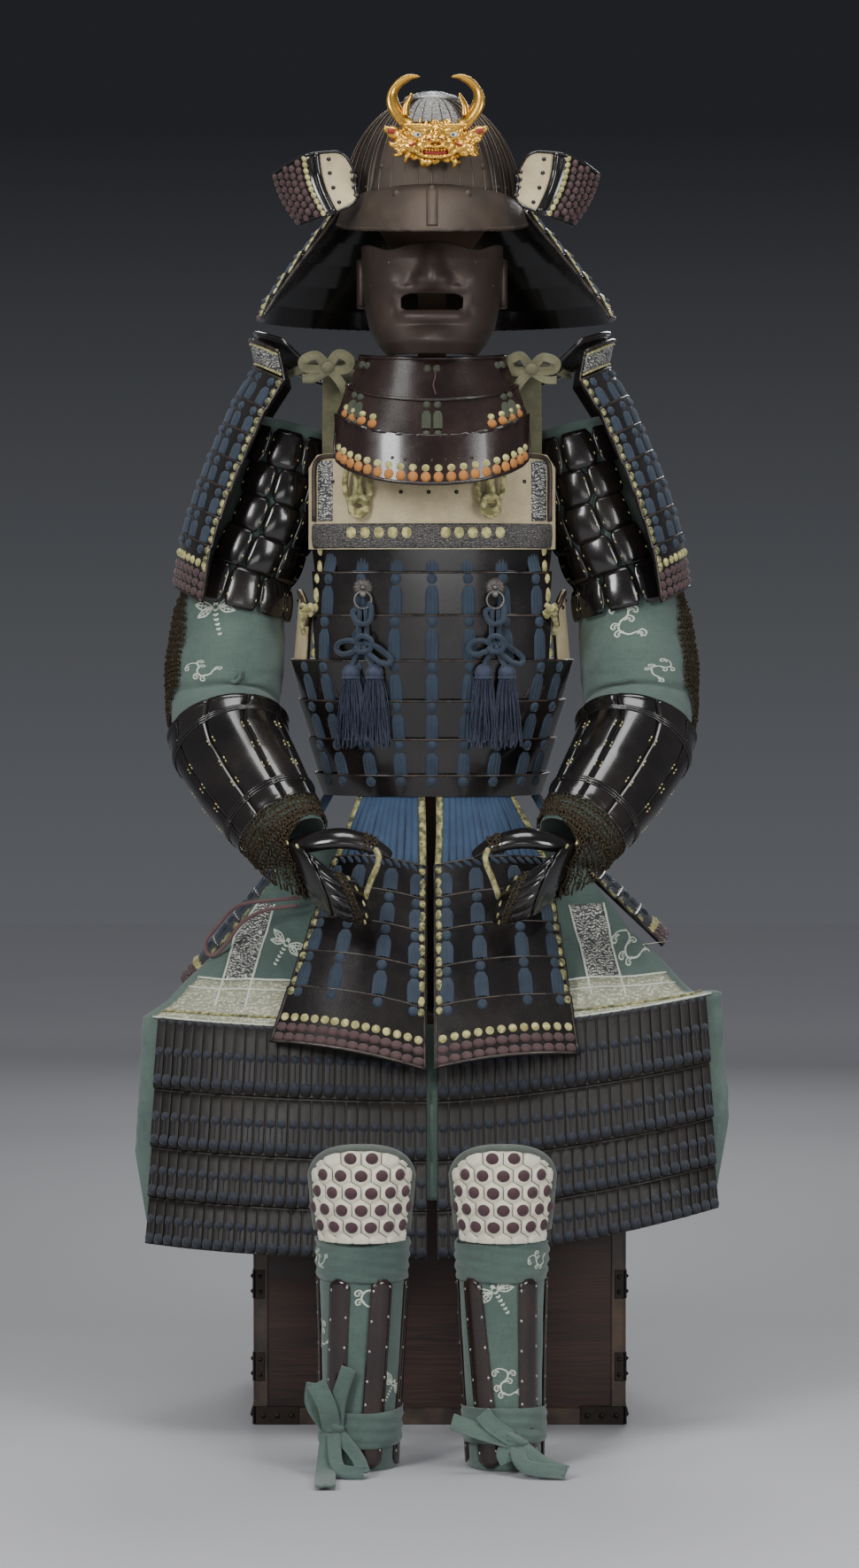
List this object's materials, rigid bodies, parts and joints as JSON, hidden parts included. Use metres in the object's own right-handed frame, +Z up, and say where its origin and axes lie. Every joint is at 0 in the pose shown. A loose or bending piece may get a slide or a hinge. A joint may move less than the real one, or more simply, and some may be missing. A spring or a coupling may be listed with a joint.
{
  "type": "samurai armour set seated on its armour chest",
  "caption": "Suit of samurai armour with horned helmet, mask, laced cuirass, armoured sleeves, thigh and shin guards, set up seated on its lacquered storage chest.",
  "frame": {"origin": "on the floor, under the middle of the whole set", "axes": "+Z up, the front faces -Y, +X to the right of someone looking at the front"},
  "size_m": [0.7036, 0.8123, 1.587],
  "materials": {
    "red_lacquer": "worn dark red-brown lacquer on wood",
    "dark_wood": "plain dark wood",
    "black_lacquer": "glossy black lacquer over iron and rawhide",
    "brown_lacquer": "glossy dark brown lacquer",
    "russet_iron": "russet iron, satin",
    "leather": "cream printed leather",
    "hemp": "teal-green hemp cloth",
    "quilt": "cream quilted cloth",
    "blue_silk": "deep blue silk braid",
    "brown_silk": "purple-brown silk cord",
    "gilt": "bright gilding"
  },
  "bodies": {
    "root": {"chest_body": "red_lacquer", "chest_lid": "red_lacquer", "stand": "dark_wood", "front_lame_1": "black_lacquer", "front_lame_2": "black_lacquer", "front_lame_3": "black_lacquer", "waist_lame_1": "black_lacquer", "waist_lame_2": "black_lacquer", "waist_lame_3": "black_lacquer", "waist_lame_4": "black_lacquer", "back_lames": "black_lacquer", "chest_board": "leather", "back_board": "leather", "armpit_board_l": "leather", "armpit_board_r": "leather", "shoulder_strap_l": "leather", "shoulder_strap_r": "leather", "tasset_front_l": "black_lacquer", "tasset_front_r": "black_lacquer", "tasset_side_l": "black_lacquer", "tasset_side_r": "black_lacquer", "tasset_back_l": "black_lacquer", "tasset_back_r": "black_lacquer", "waist_lacing": "blue_silk", "shoulder_guard_l": "black_lacquer", "shoulder_guard_r": "black_lacquer", "sleeve_l": "hemp", "sleeve_r": "hemp", "arm_plates_l": "black_lacquer", "arm_plates_r": "black_lacquer", "forearm_guard_l": "black_lacquer", "forearm_guard_r": "black_lacquer", "hand_guard_l": "black_lacquer", "hand_guard_r": "black_lacquer", "helmet_bowl": "russet_iron", "visor": "russet_iron", "crest": "gilt", "neck_lame_1": "black_lacquer", "neck_lame_2": "black_lacquer", "neck_lame_3": "black_lacquer", "neck_lame_4": "black_lacquer", "neck_lame_5": "black_lacquer", "turnback_l": "leather", "turnback_r": "leather", "mask": "russet_iron", "throat_lame_1": "brown_lacquer", "throat_lame_2": "brown_lacquer", "throat_lame_3": "brown_lacquer", "hip_cord": "brown_silk", "thigh_cloth": "hemp", "thigh_panel_l": "black_lacquer", "thigh_panel_r": "black_lacquer", "shin_guard_l": "hemp", "shin_guard_r": "hemp", "knee_guard_l": "quilt", "knee_guard_r": "quilt", "shin_tie_l": "hemp", "shin_tie_r": "hemp", "tassel_l": "blue_silk", "tassel_r": "blue_silk"}
  },
  "joints": []
}
